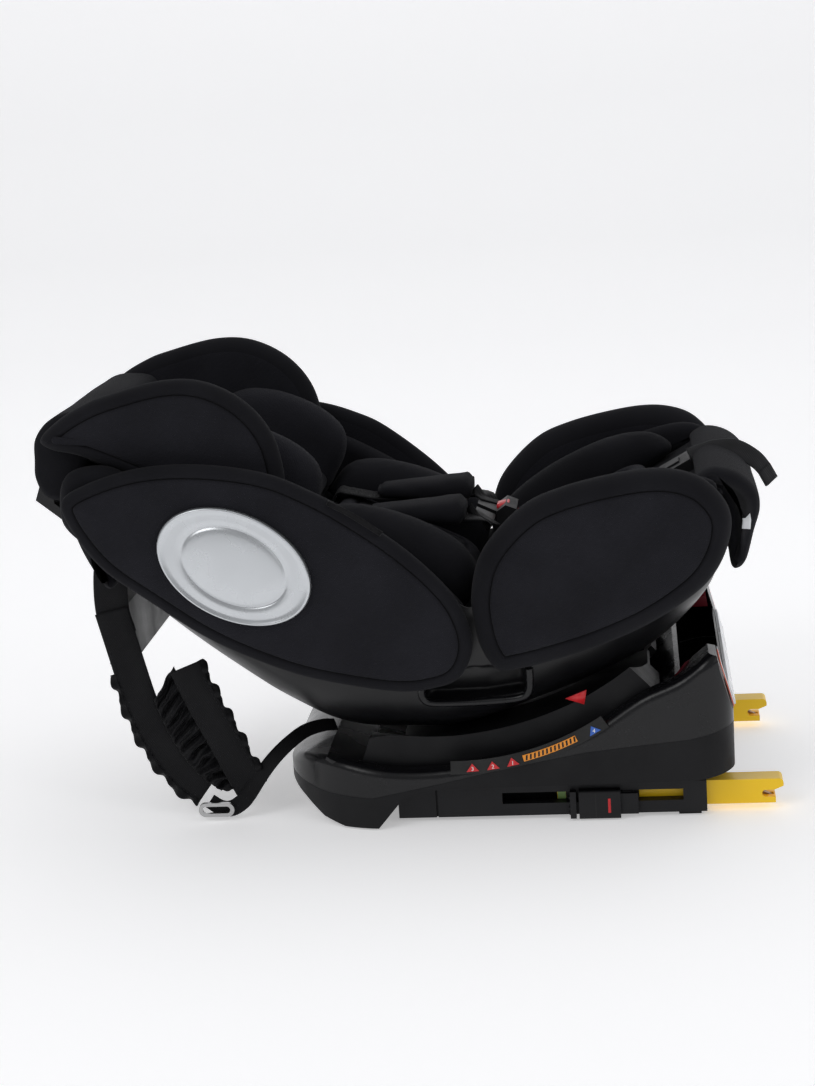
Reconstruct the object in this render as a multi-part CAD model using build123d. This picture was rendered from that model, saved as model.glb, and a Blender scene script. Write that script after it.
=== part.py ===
from build123d import *
import os
from math import cos, hypot, radians, sin

# Convertible car seat that swivels and reclines on its base, in millimetres.
# +X points to the vehicle seat back, +Y to the child's left, +Z up; the base stands on Z = 0.
# It is rear-facing and in its most reclined position, so the head end is at -X.

os.makedirs("parts", exist_ok=True)

# ---- driving dimensions -------------------------------------------------------------------
RECLINE_X = 55.0
RECLINE_Z = 360.0
SWIVEL_TILT = 16.0
POSITIONS = (0.0, 18.4, 22.6)
MARK_ANGLES = (30.0, 11.6, 7.4, 3.1)
RECLINE_TRAVEL = POSITIONS[-1]
TURNTABLE_RADIUS = 88.0

BASE_HALF_WIDTH = 188.0
TROUGH_HALF_WIDTH = 166.0
TROUGH_RADIUS = 316.0
BASE_FRONT_X = -141.0
BASE_REAR_X = 349.0
NOSE_RADIUS = 120.0
REAR_CORNER = 34.0
REAR_MIDDLE_Z = 148.0
REAR_MIDDLE_HALF_WIDTH = 140.0
WALL = 4.0

ISOFIX_Y = 140.0
ARM_WIDTH = 24.0
ARM_Z0 = 8.0
ARM_Z1 = 35.0
ARM_X0 = 158.0
ARM_TIP_X = 400.0
JAW_X = 377.0
JAW_Z0 = 14.5
JAW_Z1 = 22.5
LATCH_X = 387.0
LATCH_Z = 11.8
LATCH_LIFT = 25.0
HOUSING_X0 = -14.0
HOUSING_X1 = 318.0
HOUSING_OUTER_Y = 165.0
HOUSING_Z0 = 5.0
HOUSING_Z1 = 39.5
SLOT_X0 = 99.0
SLOT_X1 = 293.0

RAIL_Y0 = 56.0
RAIL_Y1 = 74.0
RAIL_TOP_RADIUS = 303.0
RAIL_ANGLES = (-19.0, 28.5)
SHOE_HALF_ANGLE = 11.0
COVER_ANGLES = (-20.0, 44.0)
SIDE_RADIUS = 284.0

SHELL_HALF_WIDTH = 184.0
LEG_HALF_WIDTH = 158.0
WING_INNER_Y = 186.0
WING_OUTER_Y = 216.0
LEG_WING_INNER_Y = 164.0
HEADREST_HALF_WIDTH = 175.0

BACK_ANGLE = 25.0
VALLEY_X = 60.0
VALLEY_Z = 226.0
LEG_ANGLE = 28.5
LEG_LENGTH = 278.0
WEBBING = 38.0
STRAP = 2.4
FIT = 0.5

# ---- frames -------------------------------------------------------------------------------
AXIS_DOWN = Vector(sin(radians(SWIVEL_TILT)), 0, -cos(radians(SWIVEL_TILT)))
AXIS_ACROSS = Vector(cos(radians(SWIVEL_TILT)), 0, sin(radians(SWIVEL_TILT)))
RECLINE_CENTRE = Vector(RECLINE_X, 0, RECLINE_Z)


def along_back(distance, height):
    """(x, z) of a point up the back from the seat's valley, and out from the back's surface."""
    turn = radians(BACK_ANGLE)
    return (
        VALLEY_X - distance * cos(turn) + height * sin(turn),
        VALLEY_Z + distance * sin(turn) + height * cos(turn),
    )


def along_leg(distance, height):
    """(x, z) of a point along the seat from its valley, and out from the seat's surface."""
    turn = radians(LEG_ANGLE)
    return (
        VALLEY_X + 30 + distance * cos(turn) - height * sin(turn),
        VALLEY_Z + distance * sin(turn) + height * cos(turn),
    )


def arc_point(radius, angle):
    """(x, z) of a point at an angle from straight down about the recline centre."""
    turn = radians(angle)
    return (RECLINE_X + radius * sin(turn), RECLINE_Z - radius * cos(turn))


# ---- shape helpers ------------------------------------------------------------------------
def box(x0, x1, y0, y1, z0, z1):
    """An axis-aligned box between two corners."""
    centre = ((x0 + x1) / 2, (y0 + y1) / 2, (z0 + z1) / 2)
    return Pos(*centre) * Box(x1 - x0, y1 - y0, z1 - z0)


def plate(edges, y0, y1):
    """A closed outline in the XZ plane, thickened from y0 to y1."""
    return Pos(0, y0, 0) * extrude(make_face(edges), amount=y1 - y0, dir=(0, 1, 0))


def side(points, y0, y1):
    """A straight-sided outline of (x, z) points, thickened from y0 to y1."""
    return plate(Polyline(*[(x, 0, z) for x, z in points], close=True), y0, y1)


def soft_side(points, y0, y1):
    """A smooth closed outline through (x, z) points, thickened from y0 to y1."""
    return plate(Spline(*[(x, 0, z) for x, z in points], periodic=True), y0, y1)


def back_slab(d0, d1, h0, h1, y0, y1):
    """A block that lies along the back, between two distances and two heights."""
    return side([along_back(d0, h0), along_back(d1, h0), along_back(d1, h1), along_back(d0, h1)], y0, y1)


def leg_slab(d0, d1, h0, h1, y0, y1):
    """A block that lies along the seat, between two distances and two heights."""
    return side([along_leg(d0, h0), along_leg(d1, h0), along_leg(d1, h1), along_leg(d0, h1)], y0, y1)


def arc_bar(r_in, r_out, a0, a1, y0, y1):
    """A curved bar about the recline centre, between two radii and two angles."""
    mid = (a0 + a1) / 2
    inner = [(x, 0, z) for x, z in (arc_point(r_in, a) for a in (a0, mid, a1))]
    outer = [(x, 0, z) for x, z in (arc_point(r_out, a) for a in (a1, mid, a0))]
    edges = [
        ThreePointArc(*inner),
        Line(inner[2], outer[0]),
        ThreePointArc(*outer),
        Line(outer[2], inner[0]),
    ]
    return plate(edges, y0, y1)


def ribbon(points, thickness, y0, y1):
    """A strap of even thickness whose middle line follows (x, z) points."""
    upper, lower = [], []
    for i, (x, z) in enumerate(points):
        ax, az = points[max(i - 1, 0)]
        bx, bz = points[min(i + 1, len(points) - 1)]
        length = hypot(bx - ax, bz - az)
        nx, nz = -(bz - az) / length, (bx - ax) / length
        upper.append((x + nx * thickness / 2, z + nz * thickness / 2))
        lower.append((x - nx * thickness / 2, z - nz * thickness / 2))
    return side(upper + lower[::-1], y0, y1)


def disc(radius, depth_top, depth_bottom, hole=0.0):
    """A disc or ring about the swivel axis, between two depths below the recline centre."""
    height = depth_bottom - depth_top
    origin = RECLINE_CENTRE + AXIS_DOWN * ((depth_top + depth_bottom) / 2)
    plane = Plane(origin=origin, x_dir=AXIS_ACROSS, z_dir=AXIS_DOWN * -1)
    ring = plane * Cylinder(radius, height)
    if hole:
        ring -= plane * Cylinder(hole, height + 2)
    return ring


def drum(radius, half_width):
    """A cylinder about the recline axis."""
    return Pos(RECLINE_X, 0, RECLINE_Z) * Rot(90, 0, 0) * Cylinder(radius, 2 * half_width)


def group(*shapes):
    """Separate solids kept together in one node."""
    return Compound([solid for shape in shapes for solid in shape.solids()])


def both(shape):
    """A shape and its mirror image across the middle plane."""
    return group(shape, mirror(shape, Plane.XZ))


def save(shape, node):
    export_step(shape, f"parts/{node}.step")


# ---- base ---------------------------------------------------------------------------------
SEAM = [(-150, 46), (-90, 38), (-40, 36), (35, 51), (110, 67), (191, 82), (249, 88), (301, 93), (360, 107)]
NOSE_RIM = [
    (-150, 40), (-140, 56), (-120, 71), (-90, 77), (-60, 74), (-20, 67), (20, 65.5),
    (60, 69), (130, 83), (205, 110), (258, 144), (290, 158), (312, 174), (324, 184),
]
REAR_SLOPE = [(324, 184), (332, 182), (335, 166), (348, 118), (360, 112)]
RIM_ROUND = 10.0
TUB = [(-150, 40), (-118, 24), (-96, 9), (-72, 2), (-34, 2), (-12, 28), (-2, 38), (35, 45), (258, 47), (310, 48), (360, 57)]


def plan(inset):
    """The base's plan outline as a tall block: a broad round nose and tighter rear corners."""
    half = BASE_HALF_WIDTH - inset
    block = box(BASE_FRONT_X + inset, BASE_REAR_X - inset, -half, half, -10, 240)
    block = fillet(block.edges().filter_by(Axis.Z).group_by(Axis.X)[0], NOSE_RADIUS - inset)
    return fillet(block.edges().filter_by(Axis.Z).group_by(Axis.X)[-1], REAR_CORNER - inset)


def shifted(points, dz):
    return [(x, z + dz) for x, z in points]


def base_lower_shell():
    """The matt lower tub: it carries the nose's sole and the band below the seam."""
    width = BASE_HALF_WIDTH + 5
    outer = plan(0) & side(SEAM + TUB[::-1], -width, width)
    inner = plan(WALL) & side(shifted(SEAM, 20) + shifted(TUB[::-1], WALL), -width, width)
    shell = outer - inner - drum(TROUGH_RADIUS + WALL + 0.3, TROUGH_HALF_WIDTH + WALL + 0.3)
    shell -= both(box(-62, 10, 95.5, 110.5, 8.5, 35.5))
    return shell - both(box(HOUSING_X0 - 0.5, 12, 115.5, HOUSING_OUTER_Y + 0.5, 4.5, 40))


def base_upper_shell():
    """The glossy upper shell: nose, rim, hollow side walls, trough and raised rear wall."""
    width = BASE_HALF_WIDTH + 5
    seam = shifted(SEAM[::-1], 0.3)
    top = Spline(*[(x, 0, z) for x, z in NOSE_RIM])
    rest = Polyline(*[(x, 0, z) for x, z in REAR_SLOPE + seam + NOSE_RIM[:1]])
    outer = plan(0) & plate([top, rest], -width, width)
    crown = outer.faces().filter_by(GeomType.EXTRUSION)[0]
    rounded = [edge for edge in crown.outer_wire().edges() if abs(edge.center().Y) > 60]
    outer = fillet(rounded, RIM_ROUND)
    hollow_top = shifted(NOSE_RIM + REAR_SLOPE[1:], -WALL - 1)
    hollow = plan(WALL) & side(hollow_top + shifted(SEAM[::-1], -30), -width, width)
    hollow -= drum(TROUGH_RADIUS + WALL, TROUGH_HALF_WIDTH + WALL)
    side_y = TROUGH_HALF_WIDTH + WALL
    floor = plan(0) & arc_bar(TROUGH_RADIUS, TROUGH_RADIUS + WALL, -27, 46, -side_y, side_y)
    shell = outer - drum(TROUGH_RADIUS, TROUGH_HALF_WIDTH) - hollow + floor
    notch = REAR_MIDDLE_HALF_WIDTH
    return shell - box(270, BASE_REAR_X + 9, -notch, notch, REAR_MIDDLE_Z, 260)


def rear_panel():
    """The pale cover on the sloping rear wall."""
    half = REAR_MIDDLE_HALF_WIDTH + 8
    face = [(342, 142), (349, 118), (352, 119), (345, 143)]
    return side(face, -half, half)


def scale_strips():
    """The curved black strips on both sides that carry the position marks."""
    strip = arc_bar(283, 298, -1.5, 33, BASE_HALF_WIDTH + 0.1, BASE_HALF_WIDTH + 1.3)
    return both(strip)


def scale_marks():
    """Raised triangles for the positions, and the bar that joins the first to the last."""
    y0 = BASE_HALF_WIDTH + 1.3
    y1 = y0 + 0.6
    marks = [arc_bar(287, 294, 14, 26, y0, y1)]
    for angle in MARK_ANGLES:
        points = [arc_point(295.5, angle - 1.3), arc_point(295.5, angle + 1.3), arc_point(286.5, angle)]
        marks.append(side(points, y0, y1))
    return both(group(*marks))


def base_frame():
    """The steel frame: two long box tubes joined by cross members."""
    frame = box(-60, HOUSING_X1, 96, 110, 9, 35) - box(-58, HOUSING_X1 + 1, 98, 108, 11, 33)
    frame = frame + mirror(frame, Plane.XZ)
    frame += box(-60, -44, -96, 96, 9, 30)
    frame += box(290, 306, -96, 96, 9, 35)
    return frame + box(50, 90, -96, 96, 9, 13)


def recline_rails():
    """Two curved T rails on the trough's floor, and the rack between them with its locking holes."""
    a0, a1 = RAIL_ANGLES
    head = arc_bar(RAIL_TOP_RADIUS, RAIL_TOP_RADIUS + 3, a0, a1, RAIL_Y0, RAIL_Y1)
    web = arc_bar(RAIL_TOP_RADIUS + 2, TROUGH_RADIUS - 0.1, a0, a1, RAIL_Y0 + 5, RAIL_Y1 - 5)
    rack = arc_bar(307, TROUGH_RADIUS - 0.1, a0, a1, -12, 12)
    for travel in POSITIONS:
        angle = SWIVEL_TILT - travel
        x, z = arc_point(311, angle)
        rack -= Pos(x, 0, z) * Rot(0, -angle, 0) * Cylinder(4.6 + FIT, 30)
    return group(both(head + web), rack)


def isofix_housing():
    """The long casing beside the frame that guides one ISOFIX arm, slotted for its release block."""
    inner = ISOFIX_Y - ARM_WIDTH / 2 - 12
    body = box(HOUSING_X0, HOUSING_X1, inner, HOUSING_OUTER_Y, HOUSING_Z0, HOUSING_Z1)
    half = ARM_WIDTH / 2 + FIT
    body -= box(HOUSING_X0 + 5, HOUSING_X1 + 1, ISOFIX_Y - half, ISOFIX_Y + half, ARM_Z0 - FIT, ARM_Z1 + FIT)
    body -= box(SLOT_X0, SLOT_X1, ISOFIX_Y, HOUSING_OUTER_Y + 1, 18.5, 31)
    return body - box(27, 29, HOUSING_OUTER_Y - 3, HOUSING_OUTER_Y + 1, HOUSING_Z0 - 1, HOUSING_Z1 + 1)


def foot_pads():
    """Rubber feet under the nose and the housings' rear ends."""
    front = box(-66, -40, 50, 120, 0, 2)
    rear = box(288, 312, ISOFIX_Y - 18, ISOFIX_Y + 18, 0, HOUSING_Z0)
    return both(group(front, rear))


def base_screws():
    """Pan-head screws that hold the lower shell's sole to the frame, seen from below."""
    return both(group(*[Pos(-52, y, 1.25) * Cylinder(4, 1.4) for y in (32, 140)]))


# ---- ISOFIX arms --------------------------------------------------------------------------
def isofix_arm():
    """One connector arm: a flat bar that ends in an open jaw for a 6 mm anchor bar."""
    y0 = ISOFIX_Y - ARM_WIDTH / 2
    y1 = ISOFIX_Y + ARM_WIDTH / 2
    arm = box(ARM_X0, ARM_TIP_X, y0, y1, ARM_Z0, ARM_Z1)
    arm = fillet(arm.edges().filter_by(Axis.Y).group_by(Axis.X)[-1], 5)
    arm -= box(391.5, 410, y0 - 1, y1 + 1, ARM_Z0 - 1, JAW_Z1 - 2)
    slot = box(JAW_X, 415, y0 - 1, y1 + 1, JAW_Z0, JAW_Z1)
    slot = fillet(slot.edges().filter_by(Axis.Y).group_by(Axis.X)[0], 3.9)
    flare = side([(388, JAW_Z1 - 1), (402, JAW_Z1 - 1), (402, 27.5)], y0 - 1, y1 + 1)
    pocket = box(376, 389.8, ISOFIX_Y - 3.4, ISOFIX_Y + 3.4, 9.2, 19)
    return arm - slot - flare - pocket


def isofix_latch():
    """The steel pawl that closes the jaw behind the anchor bar; it rests half lifted."""
    x, z = LATCH_X, LATCH_Z
    outline = [(x - 10, z - 1.6), (x, z - 2), (x + 2, z), (x, z + 2), (x - 10, z + 2)]
    pawl = side(outline, ISOFIX_Y - 2.9, ISOFIX_Y + 2.9)
    return pawl.rotate(Axis((x, 0, z), (0, 1, 0)), LATCH_LIFT)


def isofix_block():
    """The release block outside the housing, with its foot through the slot on the arm."""
    y0 = HOUSING_OUTER_Y + 0.6
    grip = box(181.5, 226, y0, y0 + 8.5, 2, 34)
    grip = fillet(grip.edges().filter_by(Axis.X).group_by(Axis.Y)[-1], 2.5)
    tail = box(226, 245, y0, y0 + 5, 6, 29)
    foot = box(186, 240, ISOFIX_Y + ARM_WIDTH / 2, y0, 19.2, 30.4)
    return grip + tail + foot


def isofix_button():
    """The ribbed end of the release block, which is squeezed to open the jaw."""
    y0 = HOUSING_OUTER_Y + 0.6
    body = box(172, 178.5, y0, y0 + 8, 3, 33)
    ribs = [box(170.9, 172.2, y0 + 1, y0 + 7, z, z + 2.2) for z in (7, 13, 19, 25)]
    for rib in ribs:
        body += rib
    return body


# ---- carriage -----------------------------------------------------------------------------
def carriage_plate():
    """The steel plate that carries the turntable, with the bolt's sleeve and the lever's ears."""
    ear = arc_bar(282, 300, 26, 34.5, 16.5, 21) - disc(120, 220, 271.2)
    return disc(92, 271.2, 275) + disc(10.5, 274.5, 302, hole=7.4) + ear + mirror(ear, Plane.XZ)


def carriage_cover():
    """The plastic bowl that the seat turns in; it slides in the trough and hides the rails."""
    a0, a1 = COVER_ANGLES
    skin = 3.0
    half = TROUGH_HALF_WIDTH - 3
    block = arc_bar(150, TROUGH_RADIUS - 3, a0, a1, -half, half) - bowl_limit(-skin)
    inner = arc_bar(140, TROUGH_RADIUS + 5, a0 + 0.8, a1 - 0.8, skin - half, half - skin) - bowl_limit(-2 * skin)
    cover = block - inner - disc(94, 250, 300) - arc_bar(299, 330, -60, 90, -80, 80)
    cover -= arc_bar(200, 330, 26, 90, -28, 28)
    return cover + disc(96, 261.5, 271, hole=92.6)


def slide_shoes():
    """Four low-friction shoes that wrap the rails' heads."""
    shoes = []
    for a0, a1 in ((SWIVEL_TILT - SHOE_HALF_ANGLE, SWIVEL_TILT - 2), (SWIVEL_TILT + 2, SWIVEL_TILT + SHOE_HALF_ANGLE)):
        block = arc_bar(262, RAIL_TOP_RADIUS - FIT, a0, a1, RAIL_Y0 - 4.6, RAIL_Y1 + 4.6)
        for y0, y1 in ((RAIL_Y0 - 4.6, RAIL_Y0 - FIT), (RAIL_Y1 + FIT, RAIL_Y1 + 4.6)):
            block += arc_bar(RAIL_TOP_RADIUS - 1, 310, a0, a1, y0, y1)
        for y0, y1 in ((RAIL_Y0 - 4.6, RAIL_Y0 + 3), (RAIL_Y1 - 3, RAIL_Y1 + 4.6)):
            block += arc_bar(RAIL_TOP_RADIUS + 3 + FIT, 310, a0, a1, y0, y1)
        shoes.append(block - disc(400, 150, 275.1))
    return both(group(*shoes))


def turntable_lower():
    """The turntable's fixed ring, with the spindle that the seat turns on."""
    return disc(90, 267.5, 271.1, hole=14) + disc(20, 260, 268, hole=14)


def turntable_bearing():
    """The slide ring between the two turntable halves."""
    return disc(84, 263.8, 267.2, hole=52)


def recline_bolt():
    """The bolt that drops from the carriage into the rack."""
    bolt = disc(4.6, 279, 306.4)
    return bolt + disc(7, 276, 279.5)


def recline_lever():
    """The lever under the seat's front that works the bolt."""
    arm = arc_bar(292, 301, 30, 43, -15.5, 15.5)
    return arm + arc_bar(297, 305, 42.5, 45, -24, 24)


# ---- seat structure -----------------------------------------------------------------------
UNDERSIDE = [
    (-338, 345), (-306, 268), (-240, 203), (-165, 143), (-122, 115), (-85, 95), (-46, 83), (0, 80), (40, 80),
]
LEG_UNDERSIDE = [(212, 137), (262, 166), (300, 197), (336, 240), (348, 290), (352, 336)]
CREST = [
    (345, 345), (320, 358), (263, 368), (178, 350), (125, 318), (98, 285), (80, 246), (62, 250),
    (18, 296), (-42, 340), (-121, 378), (-221, 396), (-300, 388), (-330, 372),
]
BOWL = [
    (0, 258), (158, 258), (176, 249.5), (190, 241.5), (202, 234), (214, 227), (226, 224), (290, 222),
    (330, 190), (370, 130), (430, -20),
]
LEG_OPENING = [
    (68, 188), (69, 264), (82, 316), (140, 366), (178, 380), (263, 398), (330, 386), (364, 342),
    (354, 288), (331, 252), (258, 205), (171, 177), (100, 165),
]
FRONT_EDGE = (318, 0, 218.5)
FRONT_SLOPE = 40.0


def bowl_limit(drop):
    """What the turning seat may fill: a bowl about the swivel axis, drawn in by a wall."""
    profile = [(max(r - drop, 0), depth - drop) for r, depth in BOWL]
    profile += [(430, -260), (0, -260)]
    plane = Plane(origin=RECLINE_CENTRE, x_dir=AXIS_ACROSS, z_dir=(0, 1, 0))
    flip = 1 if plane.y_dir.dot(AXIS_DOWN) > 0 else -1
    outline = Polyline(*[plane.from_local_coords((r, flip * d, 0)) for r, d in profile], close=True)
    return revolve(make_face(outline), Axis(RECLINE_CENTRE, AXIS_DOWN))


def seat_shell():
    """The outer hull of the seat: round-bottomed, narrow at the leg end, open on top."""
    width = SHELL_HALF_WIDTH
    hull = side(UNDERSIDE + LEG_UNDERSIDE + CREST, -width, width) & bowl_limit(0)
    inner_line = shifted(UNDERSIDE, WALL + 1) + shifted([(x - WALL, z) for x, z in LEG_UNDERSIDE], WALL)
    roof = [(345, 520), (-333, 520)]
    inner = side(inner_line + roof, -width + WALL, width - WALL) & bowl_limit(WALL)
    hull -= inner
    for y0, y1 in ((-width - 1, -LEG_HALF_WIDTH), (LEG_HALF_WIDTH, width + 1)):
        hull -= side(LEG_OPENING, y0, y1)
    hull -= both(arc_bar(SIDE_RADIUS, 420, -46, 78, TROUGH_HALF_WIDTH - 5, width + 1))
    return hull - Pos(*FRONT_EDGE) * Rot(0, FRONT_SLOPE, 0) * Box(24, 36, 20)


def seat_bucket():
    """The inner bucket that carries the padding, from head end to leg end."""
    back = back_slab(-4, 388, -26, -22, -176, 176)
    valley = side([along_back(-4, -26), along_back(-4, -22), along_leg(0, -22), along_leg(0, -26)], -152, 152)
    leg = leg_slab(0, LEG_LENGTH - 6, -26, -22, -152, 152)
    return back + valley + leg


def turntable_upper():
    """The turning ring under the seat."""
    return disc(TURNTABLE_RADIUS, 258.2, 263.4, hole=26)


def back_box():
    """The plastic housing on the hull's head end that covers the tether's anchor."""
    return side([(-328, 178), (-312, 166), (-300, 180), (-302, 246), (-318, 252)], -125, 125)


BACK_WING = [
    (-344, 378), (-318, 395), (-221, 413), (-121, 398), (-43, 357), (15, 313), (60, 267),
    (76, 220), (77, 196), (60, 171), (2, 158), (-103, 180), (-206, 228), (-306, 302), (-335, 348),
]
LEG_WING = [
    (88, 198), (80, 262), (112, 330), (178, 370), (263, 388), (322, 376), (352, 340),
    (341, 292), (322, 262), (254, 218), (169, 189), (101, 177),
]


def wing(outline, y0, y1):
    """A side bolster of foam, thickened sideways from its outline."""
    return soft_side(outline, y0, y1)


def side_protector():
    """The oval side-impact shell on the back wing."""
    plane = Plane(origin=(-163, WING_OUTER_Y + 0.3, 306), x_dir=(cos(radians(28)), 0, -sin(radians(28))), z_dir=(0, 1, 0))
    oval = extrude(plane * Ellipse(85, 57), amount=9)
    return oval - extrude(plane.offset(7.5) * Ellipse(60, 38), amount=4)


# ---- padding ------------------------------------------------------------------------------
def back_cushion():
    return back_slab(2, 372, -21.5, -1, -172, 172)


def seat_cushion():
    """The seat pad, with the separate roll that hangs over the hull's front edge."""
    pad = leg_slab(2, LEG_LENGTH, -21.5, -1, -148, 148)
    roll = [(353.5, 262), (364, 260), (379, 271), (385, 310), (378, 346), (360, 362), (341, 365), (338, 361), (353.5, 345)]
    return group(pad, side(roll, -136, 136))


def back_insert():
    """The infant insert on the back: a middle pad between two raised bolsters."""
    middle = back_slab(8, 168, 0, 26, -92, 92)
    sides = both(back_slab(8, 172, 0, 66, 96, 150))
    return group(middle, sides)


def seat_insert():
    middle = leg_slab(12, 206, 0, 22, -90, 90)
    sides = both(leg_slab(26, 236, 0, 52, 96, 146))
    return group(middle, sides)


# ---- harness ------------------------------------------------------------------------------
def harness_straps():
    """The two shoulder straps, from the slots above the insert to the tongues."""
    route = [along_back(176, 2), along_back(174, 27), along_back(160, 31), along_back(126, 40), along_back(24, 86)]
    return both(ribbon(route, STRAP, 42, 42 + WEBBING))


def shoulder_pads():
    """Padded sleeves round the shoulder straps."""
    lower = [along_back(127.5, 43.4), along_back(31.5, 86.7)]
    upper = [along_back(38, 101.5), along_back(134, 58)]
    return both(side(lower + upper, 36, 84))


def harness_tongues():
    """The two flat tongues that meet in the buckle."""
    tongue = side([(76, 309), (77, 314), (97.5, 304), (97.5, 299)], 8, 40)
    return both(tongue)


def crotch_strap():
    return ribbon([(112, 266), (110, 272), (109, 278)], STRAP, -WEBBING / 2, WEBBING / 2)


def crotch_pad():
    return ribbon([(131, 277), (128.5, 285), (127.5, 293)], 7.6, -30, 30)


def harness_buckle():
    """The five-point buckle's casing, with a well for its button."""
    body = side([(98, 279), (122, 279), (122, 313), (110, 318), (100, 311)], -26, 26)
    return body - box(104, 123, -10.5, 10.5, 293, 307)


def buckle_button():
    return box(110, 124, -9.8, 9.8, 293.7, 306.3)


def adjuster_housing():
    """The casing of the strap adjuster at the seat's front edge."""
    body = leg_slab(224, 262, 0, 12, -26, 26)
    return body - leg_slab(232, 250, 4, 13, -12, 12)


def adjuster_button():
    return leg_slab(232.6, 249.4, 7.6, 14, -11.4, 11.4)


def adjuster_strap():
    """The pull strap that tightens the harness; it leaves the adjuster and hangs at the front."""
    route = [along_leg(263, 5), (340, 369), (366, 367), (388, 353), (399, 340), (404, 327)]
    return ribbon(route, STRAP, -14, 14)


# ---- tether -------------------------------------------------------------------------------
def tether_straps():
    """The two wide bands of the top tether that hang flat beside each other from the hull's head end."""
    outer = ribbon([(-320, 240), (-305, 172), (-287, 108), (-264, 64), (-230, 31)], WEBBING, -131, -128.6)
    inner = ribbon([(-242, 176), (-205, 90), (-180, 34)], WEBBING - 2, -139, -136.6)
    return group(outer, inner)


def tether_absorber():
    """The gathered tear-web absorber between the bands."""
    return ribbon([(-268, 156), (-236, 84), (-200, 30)], 52, -135.8, -131.8)


def tether_webbing():
    """The narrower tail, from the folded loop back up towards the hull."""
    return ribbon([(-224, 14), (-202, 9), (-181, 30), (-151, 69), (-123, 84)], 14, -143.4, -141)


def tether_hook():
    """The steel snap hook on the tether's end, lying in the loop."""
    plane = Plane(origin=(-218, -150, 14), x_dir=(1, 0, 0), z_dir=(0, 1, 0))
    ring = extrude(plane * SlotOverall(40, 16), amount=4)
    return ring - extrude(plane.offset(-1) * SlotOverall(31, 8), amount=6)


# ---- headrest -----------------------------------------------------------------------------
HEAD_WING = [
    (-372, 436), (-350, 458), (-296, 483), (-236, 496), (-186, 492), (-146, 466), (-119, 428),
    (-112, 370), (-122, 328), (-150, 332), (-230, 369), (-330, 416), (-362, 426),
]


def headrest_shell():
    """The plastic back plate of the headrest, which hooks down over the head end."""
    low, high = along_back(432, 2), along_back(432, 8)
    hook = [low, (-345, 392), (-352, 372), (-374, 380), (-380, 412), (-366, 432), high]
    return back_slab(190, 433, 2, 8, -134, 134) + side(hook, -134, 134)


def headrest_wings():
    """The two side wings of the headrest."""
    return both(wing(HEAD_WING, HEADREST_HALF_WIDTH - 38, HEADREST_HALF_WIDTH))


def head_pillow():
    """The head insert: a back pad with two cheeks."""
    pad = back_slab(194, 400, 8.5, 34, -130, 130)
    cheeks = both(back_slab(196, 330, 34, 104, 84, 130))
    return pad + cheeks


def headrest_pull():
    """The pull tab at the headrest's top that frees its lock."""
    return side([(-390, 412), (-384, 414), (-386, 372), (-402, 366), (-405, 372)], -40, 40)


def belt_guides():
    """The two hooks that hold the vehicle's shoulder belt at the headrest."""
    guide = side([(-392, 366), (-356, 336), (-350, 343), (-372, 362), (-372, 378), (-386, 382)], 96, 128)
    return both(guide)


def swivel_button():
    """The button under the seat's front edge that frees the turntable."""
    return Pos(*FRONT_EDGE) * Rot(0, FRONT_SLOPE, 0) * Box(12, 34.8, 18.8)


# ---- write every piece --------------------------------------------------------------------
SINGLE = [
    base_lower_shell, base_upper_shell, rear_panel, scale_strips, scale_marks, base_frame,
    recline_rails, foot_pads, base_screws, carriage_plate, carriage_cover, slide_shoes,
    turntable_lower, turntable_bearing, recline_bolt, recline_lever, seat_shell, seat_bucket,
    turntable_upper, back_box, back_cushion, seat_cushion, back_insert, seat_insert,
    harness_straps, shoulder_pads, harness_tongues, crotch_strap, crotch_pad, harness_buckle,
    buckle_button, adjuster_housing, adjuster_button, adjuster_strap, tether_straps,
    tether_absorber, tether_webbing, tether_hook, headrest_shell, headrest_wings, head_pillow,
    headrest_pull, belt_guides, swivel_button,
]
PAIRED = {
    "isofix_housing": isofix_housing,
    "isofix_arm": isofix_arm,
    "isofix_latch": isofix_latch,
    "isofix_block": isofix_block,
    "isofix_button": isofix_button,
    "side_protector": side_protector,
    "back_wing": lambda: wing(BACK_WING, WING_INNER_Y, WING_OUTER_Y),
    "leg_wing": lambda: wing(LEG_WING, LEG_WING_INNER_Y, WING_OUTER_Y),
}


def main():
    for make in SINGLE:
        save(make(), make.__name__)
    for name, make in PAIRED.items():
        left = make()
        save(left, name + "_left")
        save(mirror(left, Plane.XZ), name + "_right")


if __name__ == "__main__":
    main()
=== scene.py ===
import bpy
import bmesh
import math
import numpy as np
from mathutils import Matrix, Vector, noise


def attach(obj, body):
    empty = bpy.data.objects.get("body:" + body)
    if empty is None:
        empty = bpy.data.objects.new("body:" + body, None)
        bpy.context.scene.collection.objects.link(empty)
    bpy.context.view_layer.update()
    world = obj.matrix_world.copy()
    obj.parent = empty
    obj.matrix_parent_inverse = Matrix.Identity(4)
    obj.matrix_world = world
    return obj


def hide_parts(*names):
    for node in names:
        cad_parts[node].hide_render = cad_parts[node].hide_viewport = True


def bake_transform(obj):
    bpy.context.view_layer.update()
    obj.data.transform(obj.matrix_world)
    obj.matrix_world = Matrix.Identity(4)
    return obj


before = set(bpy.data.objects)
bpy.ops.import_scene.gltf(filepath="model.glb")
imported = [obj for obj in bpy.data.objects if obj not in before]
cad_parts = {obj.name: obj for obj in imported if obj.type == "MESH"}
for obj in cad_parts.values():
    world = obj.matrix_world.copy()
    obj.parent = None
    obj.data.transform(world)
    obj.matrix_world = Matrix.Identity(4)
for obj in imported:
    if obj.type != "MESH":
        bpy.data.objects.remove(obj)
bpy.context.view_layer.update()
scene = bpy.context.scene
MM = 0.001
SIDES = ((-1, "right"), (1, "left"))

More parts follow.
